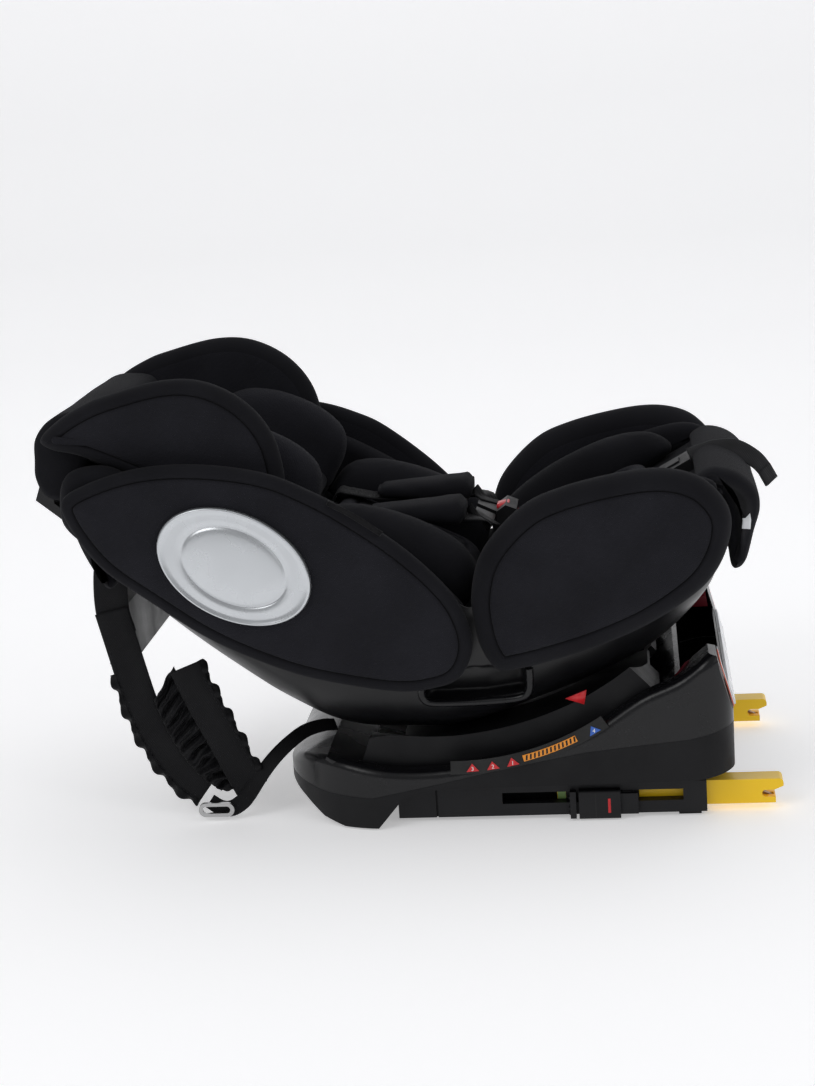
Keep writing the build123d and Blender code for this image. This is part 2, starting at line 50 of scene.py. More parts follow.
# ---- camera -------------------------------------------------------------------------------
CAMERA_AT = (0.2577, -2.3749, 0.8333)
azimuth, elevation, roll = math.radians(6.3), math.radians(13.2), math.radians(3.6)
cos_a, sin_a, cos_e, sin_e = math.cos(azimuth), math.sin(azimuth), math.cos(elevation), math.sin(elevation)
level_right = Vector((cos_a, sin_a, 0))
level_up = Vector((-sin_a * sin_e, cos_a * sin_e, cos_e))
forward = Vector((-sin_a * cos_e, cos_a * cos_e, -sin_e))
right = level_right * math.cos(roll) - level_up * math.sin(roll)
up = level_up * math.cos(roll) + level_right * math.sin(roll)
camera_data = bpy.data.cameras.new("camera")
camera_data.lens = 71.9
camera_data.sensor_width = 36
camera = bpy.data.objects.new("camera", camera_data)
camera.matrix_world = Matrix.Translation(CAMERA_AT) @ Matrix((right, up, -forward)).transposed().to_4x4()
scene.collection.objects.link(camera)
scene.camera = camera
scene.view_settings.view_transform = "Standard"


# ---- materials ----------------------------------------------------------------------------
def material(name, color, rough=0.5, metallic=0.0, **more):
    """A plain shader. Other socket names have _ for each space."""
    m = bpy.data.materials.new(name)
    m.use_nodes = True
    shader = m.node_tree.nodes["Principled BSDF"]
    shader.inputs["Base Color"].default_value = (*color, 1)
    shader.inputs["Roughness"].default_value = rough
    shader.inputs["Metallic"].default_value = metallic
    for key, value in more.items():
        shader.inputs[key.replace("_", " ")].default_value = value
    return m


def node(m, kind, **inputs):
    n = m.node_tree.nodes.new(kind)
    for key, value in inputs.items():
        n.inputs[key.replace("_", " ")].default_value = value
    return n


def link(m, a, a_out, b, b_in):
    m.node_tree.links.new(a.outputs[a_out], b.inputs[b_in])


def coordinates(m, scale=(1, 1, 1), turn=(0, 0, 0)):
    where = m.node_tree.nodes.new("ShaderNodeTexCoord")
    mapping = node(m, "ShaderNodeMapping", Scale=scale, Rotation=turn)
    link(m, where, "Object", mapping, "Vector")
    return mapping


def add_bump(m, sources, distance):
    """Chains height sources, given as (node, output, strength), into the shader's normal."""
    before = None
    for source, output, strength in sources:
        bump = node(m, "ShaderNodeBump", Strength=strength, Distance=distance)
        link(m, source, output, bump, "Height")
        if before:
            link(m, before, "Normal", bump, "Normal")
        before = bump
    link(m, before, "Normal", m.node_tree.nodes["Principled BSDF"], "Normal")


def vary(m, low, high, scale, socket="Base Color", detail=3.0):
    """Varies the colour, or another socket, slowly over the surface."""
    place = coordinates(m)
    cloud = node(m, "ShaderNodeTexNoise", Scale=scale, Detail=detail)
    link(m, place, "Vector", cloud, "Vector")
    shader = m.node_tree.nodes["Principled BSDF"]
    if socket == "Base Color":
        ramp = m.node_tree.nodes.new("ShaderNodeValToRGB")
        ramp.color_ramp.elements[0].position = 0.3
        ramp.color_ramp.elements[1].position = 0.7
        ramp.color_ramp.elements[0].color = (*low, 1)
        ramp.color_ramp.elements[1].color = (*high, 1)
        link(m, cloud, "Fac", ramp, "Fac")
        link(m, ramp, "Color", shader, socket)
    else:
        span = node(m, "ShaderNodeMapRange", From_Min=0.3, From_Max=0.7, To_Min=low, To_Max=high)
        link(m, cloud, "Fac", span, "Value")
        link(m, span, "Result", shader, socket)


def knit(name, low, high, cell, strength, sheen=0.25):
    """Knitted fabric: small rounded cells in slanted rows, over a slow change of shade."""
    m = material(name, low, 0.92, Sheen_Weight=sheen, Sheen_Roughness=0.45, Specular_IOR_Level=0.08)
    vary(m, low, high, 14)
    place = coordinates(m, (1, 1, 1), (0.3, 0.35, 0.2))
    cells = node(m, "ShaderNodeTexVoronoi", Scale=1 / cell, Randomness=0.35)
    link(m, place, "Vector", cells, "Vector")
    fuzz = node(m, "ShaderNodeTexNoise", Scale=900.0, Detail=2.0)
    link(m, place, "Vector", fuzz, "Vector")
    add_bump(m, [(cells, "Distance", strength), (fuzz, "Fac", 0.12)], 0.0012)
    return m


def woven(name, low, high, turn, pitch=0.0011, rough=0.6):
    """Webbing: fine crossed ribs."""
    m = material(name, low, rough, Sheen_Weight=0.04, Sheen_Roughness=0.4, Specular_IOR_Level=0.12)
    vary(m, low, high, 30)
    ribs = []
    for angle in (0.6, -0.6):
        place = coordinates(m, (1, 1, 1), (turn[0], turn[1] + angle, turn[2]))
        wave = node(m, "ShaderNodeTexWave", Scale=0.16 / pitch)
        link(m, place, "Vector", wave, "Vector")
        ribs.append((wave, "Fac", 0.35))
    add_bump(m, ribs, 0.0006)
    return m


def moulded(name, color, rough, grain=0.12, scale=1800.0, **more):
    """Moulded plastic: a fine grain, with slow changes of polish."""
    m = material(name, color, rough, **more)
    vary(m, rough * 0.8, min(rough * 1.25, 1), 24, "Roughness", 4.0)
    place = coordinates(m)
    fine = node(m, "ShaderNodeTexNoise", Scale=scale, Detail=2.0)
    slow = node(m, "ShaderNodeTexNoise", Scale=9.0, Detail=1.0)
    link(m, place, "Vector", fine, "Vector")
    link(m, place, "Vector", slow, "Vector")
    add_bump(m, [(slow, "Fac", 0.05), (fine, "Fac", grain)], 0.0008)
    return m


def brushed(name, color, rough):
    """Brushed metal: long fine scratches."""
    m = material(name, color, rough, 1.0)
    place = coordinates(m, (30, 900, 900))
    lines = node(m, "ShaderNodeTexNoise", Scale=1.0, Detail=3.0)
    link(m, place, "Vector", lines, "Vector")
    span = node(m, "ShaderNodeMapRange", To_Min=rough * 0.7, To_Max=rough * 1.4)
    link(m, lines, "Fac", span, "Value")
    link(m, span, "Result", m.node_tree.nodes["Principled BSDF"], "Roughness")
    add_bump(m, [(lines, "Fac", 0.08)], 0.0003)
    return m


mesh_cloth = knit("mesh_cloth", (0.0135, 0.0135, 0.0165), (0.019, 0.019, 0.0235), 0.0017, 0.7, 0.03)
plain_cloth = knit("plain_cloth", (0.0095, 0.0095, 0.0115), (0.0135, 0.0135, 0.0162), 0.0008, 0.25, 0.03)
seam_dark = woven("seam_dark", (0.002, 0.002, 0.0025), (0.004, 0.004, 0.0045), (0, 0, 0), 0.0006, 0.85)
thread = woven("thread", (0.022, 0.022, 0.024), (0.03, 0.03, 0.033), (0, 0, 0), 0.0005, 0.7)
webbing = woven("webbing_black", (0.006, 0.006, 0.007), (0.010, 0.010, 0.011), (0, 0, 0))
strap_grey = woven("webbing_grey", (0.014, 0.014, 0.015), (0.022, 0.022, 0.024), (0, 0, 0), 0.0009)
ruffle_cloth = woven("tear_web", (0.005, 0.005, 0.006), (0.009, 0.009, 0.010), (0, 0.4, 0), 0.0008, 0.38)
hull_plastic = moulded("hull_plastic", (0.0055, 0.0055, 0.0065), 0.36, 0.06, Specular_IOR_Level=0.4)
matt_plastic = moulded("matt_plastic", (0.006, 0.006, 0.007), 0.48, 0.16, Specular_IOR_Level=0.22)
gloss_plastic = moulded("gloss_plastic", (0.004, 0.004, 0.005), 0.25, 0.03, Specular_IOR_Level=0.35)
grey_plastic = moulded("grey_plastic", (0.010, 0.010, 0.0115), 0.45, 0.14, Specular_IOR_Level=0.25)
pocket_black = moulded("pocket_black", (0.004, 0.004, 0.004), 0.6, 0.05)
white_plastic = moulded("white_panel", (0.78, 0.80, 0.82), 0.28, 0.02)
yellow_plastic = moulded("yellow_plastic", (1.0, 0.63, 0.002), 0.34, 0.05)
silver_paint = moulded("silver_paint", (0.60, 0.62, 0.64), 0.27, 0.04, 2600.0, Metallic=0.85)
red_plastic = moulded("red_plastic", (0.62, 0.012, 0.02), 0.3, 0.03)
red_paint = moulded("red_paint", (0.60, 0.015, 0.02), 0.4, 0.03)
blue_paint = moulded("blue_paint", (0.03, 0.12, 0.5), 0.4, 0.03)
orange_paint = moulded("orange_paint", (0.85, 0.30, 0.02), 0.4, 0.03)
salmon_paint = moulded("salmon_paint", (0.80, 0.14, 0.08), 0.4, 0.03)
green_paint = moulded("green_paint", (0.25, 0.42, 0.12), 0.4, 0.03)
# the red mark paint darkened with painted shade, for the shadow the inner mark sits in
red_in_painted_shade = moulded("red_in_painted_shade", (0.12, 0.006, 0.012), 0.3, 0.03)
white_paint = moulded("white_paint", (0.85, 0.85, 0.85), 0.45, 0.02)
acetal = moulded("acetal", (0.6, 0.6, 0.56), 0.4, 0.05)
steel = brushed("steel", (0.5, 0.5, 0.5), 0.3)
bronze = brushed("bronze_steel", (0.30, 0.20, 0.11), 0.35)
frame_paint = moulded("frame_paint", (0.02, 0.02, 0.022), 0.4, 0.2, 900.0)
foot_rubber = moulded("foot_rubber", (0.012, 0.012, 0.012), 0.8, 0.3, 700.0)


# ---- mesh tools ---------------------------------------------------------------------------
def smooth_line(points, count, closed=False):
    """Evenly spaced points on a smooth curve through the given ones."""
    p = np.array(points, float)
    m = len(p)
    t = np.linspace(0, 1, 24, endpoint=False)[:, None]
    runs = []
    for i in range(m if closed else m - 1):
        a = p[i - 1] if closed or i else 2 * p[0] - p[1]
        b, c = p[i], p[(i + 1) % m]
        d = p[(i + 2) % m] if closed or i + 2 < m else 2 * p[-1] - p[-2]
        runs.append(
            0.5 * (
                2 * b + (c - a) * t + (2 * a - 5 * b + 4 * c - d) * t**2 + (3 * b - a - 3 * c + d) * t**3
            )
        )
    runs.append(p[:1] if closed else p[-1:])
    line = np.concatenate(runs)
    along = np.concatenate([[0], np.cumsum(np.linalg.norm(np.diff(line, axis=0), axis=1))])
    at = np.linspace(0, along[-1], count, endpoint=not closed)
    return np.stack([np.interp(at, along, line[:, k]) for k in range(p.shape[1])], axis=1)


def build(name, verts, faces, mats, which=None):
    """A smooth-shaded object from points in millimetres."""
    mesh = bpy.data.meshes.new(name)
    mesh.from_pydata(
        [tuple(float(c) * MM for c in v) for v in verts], [], [tuple(map(int, f)) for f in faces],
    )
    for m in mats:
        mesh.materials.append(m)
    if which is not None:
        mesh.polygons.foreach_set("material_index", which)
    work = bmesh.new()
    work.from_mesh(mesh)
    bmesh.ops.recalc_face_normals(work, faces=work.faces)
    for f in work.faces:
        f.smooth = True
    work.to_mesh(mesh)
    work.free()
    obj = bpy.data.objects.new(name, mesh)
    scene.collection.objects.link(obj)
    return obj


def applied(obj, kind, **settings):
    """Adds a modifier to a piece and applies it."""
    modifier = obj.modifiers.new(kind.lower(), kind)
    for key, value in settings.items():
        setattr(modifier, key, value)
    bpy.context.view_layer.objects.active = obj
    bpy.ops.object.modifier_apply(modifier=modifier.name)
    return obj


def directions(path):
    """The unit direction of a path at each of its points."""
    tangent = np.gradient(path, axis=0)
    return tangent / np.linalg.norm(tangent, axis=1)[:, None]


def inward_of(line):
    """The unit direction at each point of a closed 2-D line that runs anticlockwise, turned to its inside."""
    tangent = np.roll(line, -1, 0) - np.roll(line, 1, 0)
    tangent /= np.linalg.norm(tangent, axis=1)[:, None]
    return np.stack([-tangent[:, 1], tangent[:, 0]], axis=1)


def loop_faces(rings, around, start=0):
    """Quads between closed rings of points that are stored one after another."""
    for i in range(rings - 1):
        for j in range(around):
            p, q = start + i * around, start + (i + 1) * around
            yield (p + j, p + (j + 1) % around, q + (j + 1) % around, q + j)


def sheet_faces(rows, cols):
    """Quads of an open grid of points."""
    for i in range(rows - 1):
        for j in range(cols - 1):
            p = i * cols + j
            yield (p, p + 1, p + cols + 1, p + cols)


def end_faces(rings, around):
    """The two faces that close a run of rings."""
    return [tuple(range(around)), tuple((rings - 1) * around + j for j in range(around))]


def sweep(name, path, section, mats, side=None, closed=False):
    """A closed section of (across, out) points carried along a path. side is the across direction, or one
    for each point of the path."""
    path = np.array(path, float)
    n, k = len(path), len(section)
    if closed:
        tangent = np.roll(path, -1, 0) - np.roll(path, 1, 0)
        tangent /= np.linalg.norm(tangent, axis=1)[:, None]
    else:
        tangent = directions(path)
    if side is None:
        seed = np.array([0, 0, 1.0]) if abs(tangent[0][2]) < 0.9 else np.array([1.0, 0, 0])
        rows = []
        for t in tangent:
            seed = seed - t * np.dot(seed, t)
            seed /= np.linalg.norm(seed)
            rows.append(seed)
        across = np.array(rows)
    else:
        across = np.array([side] * n, float) if np.ndim(side) == 1 else np.array(side, float)
        across = across - tangent * np.sum(across * tangent, axis=1)[:, None]
        across /= np.linalg.norm(across, axis=1)[:, None]
    out = np.cross(tangent, across)
    verts = [path[i] + across[i] * a + out[i] * b for i in range(n) for a, b in section]
    faces = list(loop_faces(n, k))
    if closed:
        last = (n - 1) * k
        faces += [(last + j, last + (j + 1) % k, (j + 1) % k, j) for j in range(k)]
    else:
        faces += end_faces(n, k)
    return build(name, verts, faces, mats)


def tube(name, path, radius, mat, sides=8, closed=False):
    """A round cord along a path."""
    turns = [2 * math.pi * j / sides for j in range(sides)]
    section = [(radius * math.cos(a), radius * math.sin(a)) for a in turns]
    return sweep(name, path, section, [mat], closed=closed)


def strap(name, path, width, thick, mat, side=(0, 1, 0)):
    """A flat strap with thin rounded edges."""
    w, t = width / 2, thick / 2
    section = [(-w, 0), (-w + t, -t), (-w / 3, -t * 0.9), (w / 3, -t * 0.9), (w - t, -t)]
    section += [(w, 0), (w - t, t), (w / 3, t * 0.9), (-w / 3, t * 0.9), (-w + t, t)]
    return sweep(name, path, section, [mat], side=side)


def stitches(name, path, out, mat, pitch=4.2, length=2.6, radius=0.32):
    """A row of small raised stitches along a path, lying on the side that out points to."""
    path = np.array(path, float)
    run = np.concatenate([[0], np.cumsum(np.linalg.norm(np.diff(path, axis=0), axis=1))])
    verts, faces = [], []
    out = np.array(out, float)
    at = pitch / 2
    while at + length < run[-1]:
        a = np.array([np.interp(at, run, path[:, k]) for k in range(3)])
        b = np.array([np.interp(at + length, run, path[:, k]) for k in range(3)])
        t = (b - a) / np.linalg.norm(b - a)
        u = np.cross(t, out)
        u /= np.linalg.norm(u)
        v = np.cross(u, t)
        base = len(verts)
        for s, r in ((0, 0.3), (0.25, 1), (0.75, 1), (1, 0.3)):
            for j in range(5):
                g = 2 * math.pi * j / 5
                verts.append(a + (b - a) * s + (u * math.cos(g) + v * math.sin(g)) * radius * r)
        faces += loop_faces(4, 5, base)
        faces.append(tuple(base + j for j in range(5)))
        faces.append(tuple(base + 15 + j for j in range(5)))
        at += pitch
    return build(name, verts, faces, [mat])


def distance_to(points, outline):
    """The distance of each 2-D point from a closed outline."""
    a = outline
    b = np.roll(outline, -1, 0)
    ab = b - a
    best = np.full(len(points), 1e9)
    for i in range(len(a)):
        t = np.clip(((points - a[i]) @ ab[i]) / (ab[i] @ ab[i]), 0, 1)[:, None]
        best = np.minimum(best, np.linalg.norm(points - a[i] - t * ab[i], axis=1))
    return best


def pad(
    name, outline, place, low, high, mats, edge=14.0, crown=5.0, seams=(), band=0.0, soft=1.0, count=180,
):
    """A stuffed pad. outline is a closed (a, b) curve, and place(a, b, t) puts a point at height t in space.
    seams are distances from the edge where the top is sewn down. The strip outside band takes the second
    material. Gives the object and the line of each seam."""
    line = smooth_line(outline, count, closed=True)
    ahead = np.roll(line, -1, 0)
    if np.sum(line[:, 0] * ahead[:, 1] - ahead[:, 0] * line[:, 1]) < 0:
        line = line[::-1]
        ahead = np.roll(line, -1, 0)
    inward = inward_of(line)
    steps = {0, 0.6, 1.8, 3.6, 6, 9, 12}
    for s in seams:
        steps |= {s - 4, s - 2, s - 1, s, s + 1, s + 2, s + 4}
    steps = sorted(s for s in steps if s >= 0)
    rings, depths = [], []
    for s in steps:
        ring = line + inward * s
        for _ in range(int(s)):
            ring = (np.roll(ring, 1, 0) + 2 * ring + np.roll(ring, -1, 0)) / 4
        rings.append(ring)
        depths.append(np.full(count, float(s)))
    centre = rings[-1].mean(0)
    inner = 16
    for i in range(1, inner):
        ring = centre + (rings[len(steps) - 1] - centre) * (1 - i / inner)
        rings.append(ring)
        depths.append(np.maximum(distance_to(ring, line), steps[-1]))
    deepest = max(d.max() for d in depths)
    middle, half = (low + high) / 2, (high - low) / 2
    arc = np.arange(count) * (np.linalg.norm(ahead - line, axis=1).mean())

    def top(ring, d):
        k = np.clip(1 - d / edge, 0, 1)
        t = middle + half * np.sqrt(np.clip(1 - k**2.3, 0, 1))
        t = t + crown * np.sin(np.clip(d / deepest, 0, 1) * math.pi / 2) ** 1.3
        for s in seams:
            t = t - 2.4 * np.exp(-(((d - s) / 1.3) ** 2)) - 1.6 * np.exp(-(((d - s) / 6) ** 2))
            t = t + 0.35 * np.sin(arc * 0.75) * np.exp(-np.abs(d - s) / 5)
        for i, (a, b) in enumerate(ring):
            inside = min(d[i] / 10, 1)
            t[i] += soft * 1.6 * noise.noise(Vector((a * 0.013, b * 0.013, high * 0.01))) * inside
            t[i] += soft * 0.4 * noise.noise(Vector((a * 0.05, b * 0.05, high * 0.01))) * inside
        return t

    def bottom(ring, d):
        k = np.clip(1 - d / edge, 0, 1)
        return middle - half * np.sqrt(np.clip(1 - k**2.3, 0, 1))

    verts, faces, which, lines = [], [], [], {}
    for up_side in (True, False):
        start = len(verts)
        for i, (ring, d) in enumerate(zip(rings, depths)):
            t = top(ring, d) if up_side else bottom(ring, d)
            if i == 0:
                t = np.full(count, middle)
            points = [place(a, b, h) for (a, b), h in zip(ring, t)]
            if up_side and i < len(steps) and steps[i] in seams:
                lines[steps[i]] = np.array(points)
            verts += points
        faces += loop_faces(len(rings), count, start)
        for i in range(len(rings) - 1):
            edge_strip = len(mats) > 1 and depths[i][0] < band and i < len(steps)
            which += [int(edge_strip)] * count
        last = start + (len(rings) - 1) * count
        t = (top if up_side else bottom)(np.array([centre] * count), np.full(count, deepest))[0]
        verts.append(place(centre[0], centre[1], t))
        for j in range(count):
            faces.append((last + j, last + (j + 1) % count, len(verts) - 1))
            which.append(0)
    obj = build(name, verts, faces, mats, which)
    work = bmesh.new()
    work.from_mesh(obj.data)
    bmesh.ops.remove_doubles(work, verts=work.verts, dist=2e-6)
    bmesh.ops.recalc_face_normals(work, faces=work.faces)
    work.to_mesh(obj.data)
    work.free()
    return obj, lines


def roll_across(name, outline, half, edge, mats, count=120):
    """A stuffed roll: an (x, z) outline carried across from -half to half, rounded in at both ends."""
    line = smooth_line(outline, count, closed=True)
    ahead = np.roll(line, -1, 0)
    inward = inward_of(line) * np.sign(np.sum(line[:, 0] * ahead[:, 1] - ahead[:, 0] * line[:, 1]))
    verts, rings = [], 64
    for i in range(rings):
        y = -half + 2 * half * i / (rings - 1)
        over = max(0.0, abs(y) - (half - edge)) / edge
        inset = edge * 0.75 * (1 - math.sqrt(max(0.0, 1 - over**2)))
        ring = line + inward * inset
        for _ in range(int(inset)):
            ring = (np.roll(ring, 1, 0) + 2 * ring + np.roll(ring, -1, 0)) / 4
        for j, (x, z) in enumerate(ring):
            lump = 1.3 * noise.noise(Vector((x * 0.02, y * 0.012, z * 0.02)))
            verts.append((x - inward[j][0] * lump, y, z - inward[j][1] * lump))
    return build(name, verts, [*loop_faces(rings, count), *end_faces(rings, count)], mats)


def puff(obj, cap, voxel=0.005, pressure=4.0, frames=20):
    """Stuffs a closed form with Blender's cloth: remeshes it, blows it up, caps the swell at cap millimetres
    and smooths it."""
    applied(obj, "REMESH", mode="VOXEL", voxel_size=voxel)
    start = np.zeros(len(obj.data.vertices) * 3)
    obj.data.vertices.foreach_get("co", start)
    cloth = obj.modifiers.new("cloth", "CLOTH")
    cloth.settings.quality = 4
    cloth.settings.use_pressure = True
    cloth.settings.uniform_pressure_force = pressure
    cloth.settings.effector_weights.gravity = 0
    cloth.settings.tension_stiffness = 12
    cloth.settings.bending_stiffness = 0.6
    cloth.point_cache.frame_end = frames
    for f in range(1, frames + 1):
        scene.frame_set(f)
    bpy.ops.object.modifier_apply(modifier=cloth.name)
    scene.frame_set(1)
    end = np.zeros_like(start)
    obj.data.vertices.foreach_get("co", end)
    move = (end - start).reshape(-1, 3)
    far = np.linalg.norm(move, axis=1)
    move *= (np.minimum(far, cap * MM) / np.maximum(far, 1e-9))[:, None]
    obj.data.vertices.foreach_set("co", (start.reshape(-1, 3) + move).ravel())
    applied(obj, "SMOOTH", iterations=3)
    applied(obj, "SUBSURF", levels=1)
    for p in obj.data.polygons:
        p.use_smooth = True
    return obj


def settle(obj, body, slot_name, *nodes, fill=None):
    """Puts a piece on its body and hides the CAD nodes that it stands for. slot_name and fill are not used.
    """
    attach(obj, body)
    if nodes:
        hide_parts(*nodes)
    return obj


# ---- the seat's planes, as in the part ------------------------------------------------------
BACK_ANGLE, LEG_ANGLE = math.radians(25.0), math.radians(28.5)
VALLEY_X, VALLEY_Z = 60.0, 226.0


def on_back(a, b, t):
    """A point a up the back, b across it and t above it."""
    x = VALLEY_X - a * math.cos(BACK_ANGLE) + t * math.sin(BACK_ANGLE)
    return (x, b, VALLEY_Z + a * math.sin(BACK_ANGLE) + t * math.cos(BACK_ANGLE))


def on_leg(a, b, t):
    """A point a along the seat, b across it and t above it."""
    x = VALLEY_X + 30 + a * math.cos(LEG_ANGLE) - t * math.sin(LEG_ANGLE)
    return (x, b, VALLEY_Z + a * math.sin(LEG_ANGLE) + t * math.cos(LEG_ANGLE))


def beside(sign):
    """Gives the placing of a pad that stands upright on one side of the seat."""
    return lambda a, b, t: (a, sign * t, b)


def rounded_box(a0, a1, b0, b1, r):
    """Outline points of a rectangle with round corners and slightly bowed sides."""
    points = []
    for ca, cb, start in (
        (a1 - r, b1 - r, 0), (a0 + r, b1 - r, 90), (a0 + r, b0 + r, 180), (a1 - r, b0 + r, 270),
    ):
        for step in (0, 30, 60, 90):
            g = math.radians(start + step)
            points.append((ca + r * math.cos(g), cb + r * math.sin(g)))
    return points


# ---- hull ---------------------------------------------------------------------------------
UNDERSIDE = [
    (-338, 345), (-324, 305), (-306, 268), (-240, 203), (-165, 143), (-122, 115), (-85, 96), (-46, 87),
    (0, 86), (50, 88),
]
UNDERSIDE += [(125, 110), (205, 138), (262, 167), (300, 198), (334, 240), (347, 290), (351, 330)]
CREST = [(-333, 366), (-300, 386), (-221, 394), (-121, 376), (-42, 338), (18, 294), (60, 252), (82, 246)]
CREST += [(98, 280), (125, 314), (178, 346), (263, 364), (320, 355), (345, 342)]


def hull():
    """The outer hull: sections that round from the side walls into the underside, with a belt recess in each
    side."""
    rows, cols = 230, 150
    low = smooth_line(UNDERSIDE, rows)
    high = smooth_line(CREST, rows)
    verts = []
    for i in range(rows):
        share = i / (rows - 1)
        width = 183.0 - 15.0 * max(0, share - 0.62) / 0.38 - 6.0 * max(0, 0.08 - share) / 0.08
        for j in range(cols):
            g = math.pi * j / (cols - 1)
            c, s = math.cos(g), math.sin(g)
            y = width * math.copysign(abs(c) ** 0.5, c)
            down = s**0.5 if s > 0 else 0
            x = high[i][0] + (low[i][0] - high[i][0]) * down
            z = high[i][1] + (low[i][1] - high[i][1]) * down
            inside = min((x - 20) / 8, (134 - x) / 8, (z - (137 + (x - 22) * 0.03)) / 6, (178 - z) / 4)
            if inside > 0 and abs(y) > 120:
                y -= math.copysign(22 * min(inside, 1), y)
            verts.append((x, y, z))
    shell = build("hull", verts, sheet_faces(rows, cols), [hull_plastic])
    return applied(shell, "SOLIDIFY", thickness=0.0035, offset=-1)


settle(hull(), "seat_body", "matte_black_plastic", "seat_shell")

LIP = [
    (20, 156), (21, 144), (30, 138), (60, 137), (95, 138), (124, 141), (134, 148), (136, 162), (136, 176),
]
for sign, word in SIDES:
    lip = tube(
        f"belt_lip_{word}",
        [(x, sign * (181 - 8 * max(0, (165 - z) / 30)), z) for x, z in smooth_line(LIP, 70)], 4.2,
        gloss_plastic, 12,
    )
    settle(lip, "seat_body", "gloss_black_plastic")
    pointer = build(
        f"pointer_{word}",
        [
            (x, sign * (y + d), z)
            for d in (0, 1.8)
            for x, y, z in ((172, 172, 138), (195, 175, 148), (192, 172, 131))
        ],
        [(0, 1, 2), (3, 4, 5), (0, 1, 4, 3), (1, 2, 5, 4), (2, 0, 3, 5)],
        [red_paint],
    )
    settle(pointer, "seat_body", "mark_paint")

# ---- wings --------------------------------------------------------------------------------
BACK_WING = [
    (-344, 378), (-318, 395), (-270, 409), (-221, 413), (-170, 409), (-121, 398), (-80, 379), (-43, 357),
    (15, 313), (58, 268),
]
BACK_WING += [
    (76, 232), (78, 200), (62, 172), (32, 162), (0, 160), (-50, 168), (-103, 181), (-155, 202), (-206, 229),
    (-260, 268), (-306, 304), (-335, 346),
]
LEG_WING = [
    (88, 200), (81, 230), (80, 262), (90, 300), (112, 330), (143, 356), (178, 370), (220, 380), (263, 386),
    (296, 384), (324, 373),
]
LEG_WING += [
    (345, 350), (351, 325), (343, 293), (324, 264), (290, 238), (254, 218), (212, 201), (169, 188),
    (130, 179), (104, 178),
]
HEAD_WING = [
    (-372, 438), (-350, 458), (-322, 473), (-296, 482), (-236, 495), (-190, 491), (-148, 467), (-121, 428),
    (-113, 375),
]
HEAD_WING += [(-122, 336), (-150, 336), (-190, 354), (-230, 372), (-280, 396), (-330, 418), (-360, 426)]
RAISED = [
    (x, z + 15 * math.exp(-(((x + 40) / 95) ** 2))) if i < 11 else (x, z)
    for i, (x, z) in enumerate(BACK_WING)
]
for sign, word in SIDES:
    wing, lines = pad(
        f"back_wing_{word}", RAISED if sign > 0 else BACK_WING, beside(sign), 187, 212,
        [mesh_cloth, plain_cloth], 15, 4, (13,), 13, 1.0, 240,
    )
    settle(wing, "seat_body", "charcoal_fabric", f"back_wing_{word}", fill=0.8)
    settle(
        tube(f"back_wing_piping_{word}", lines[13], 0.9, seam_dark, 6, True), "seat_body",
        "charcoal_fabric",
    )
    wing, lines = pad(
        f"leg_wing_{word}", LEG_WING, beside(sign), 166, 211, [mesh_cloth, plain_cloth], 24, 4, (20,), 20,
        1.0, 240,
    )
    settle(wing, "seat_body", "charcoal_fabric", f"leg_wing_{word}", fill=0.8)
    settle(
        tube(f"leg_wing_piping_{word}", lines[20], 0.9, seam_dark, 6, True), "seat_body", "charcoal_fabric",
    )
head = []
for sign, word in SIDES:
    wing, lines = pad(
        f"head_wing_{word}", HEAD_WING, beside(sign), 139, 171, [mesh_cloth, plain_cloth], 20, 4, (15,), 15,
        1.0, 220,
    )
    settle(wing, "headrest", "charcoal_fabric", fill=0.85)
    settle(
        tube(f"head_wing_piping_{word}", lines[15], 0.9, seam_dark, 6, True), "headrest", "charcoal_fabric",
    )
    head.append(wing)
for wing in head:
    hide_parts("headrest_wings")

# ---- silver ovals -------------------------------------------------------------------------
for sign, word in SIDES:
    profile = [
        (0.0, 6.6), (0.2, 6.5), (0.4, 6.2), (0.55, 5.7), (0.62, 5.2), (0.655, 4.6), (0.67, 3.6),
        (0.685, 3.5), (0.70, 4.2),
    ]
    profile += [
        (0.72, 4.8), (0.8, 4.9), (0.88, 4.7), (0.93, 4.9), (0.955, 6.0), (0.975, 6.4), (0.99, 5.4),
        (1.0, 3.0), (1.0, -1.0),
    ]
    verts, around, lean = [], 128, math.radians(-28)
    for share, height in profile:
        for j in range(around):
            g = 2 * math.pi * j / around
            a, b = 85 * share * math.cos(g), 57 * share * math.sin(g)
            verts.append(
                (
                    -163 + a * math.cos(lean) - b * math.sin(lean), sign * (216.6 + height),
                    306 + a * math.sin(lean) + b * math.cos(lean),
                )
            )
    faces = [*loop_faces(len(profile), around), end_faces(len(profile), around)[1]]
    oval = build(f"side_oval_{word}", verts, faces, [silver_paint])
    settle(oval, "seat_body", "silver_plastic", f"side_protector_{word}")

# ---- the inside of the seat ---------------------------------------------------------------
def back_line(points):
    """(x, z) of points given as a distance up the back and a height from its surface."""
    return [(on_back(a, 0, t)[0], on_back(a, 0, t)[2]) for a, t in points]


def leg_line(points):
    """(x, z) of points given as a distance along the seat and a height from its surface."""
    return [(on_leg(a, 0, t)[0], on_leg(a, 0, t)[2]) for a, t in points]


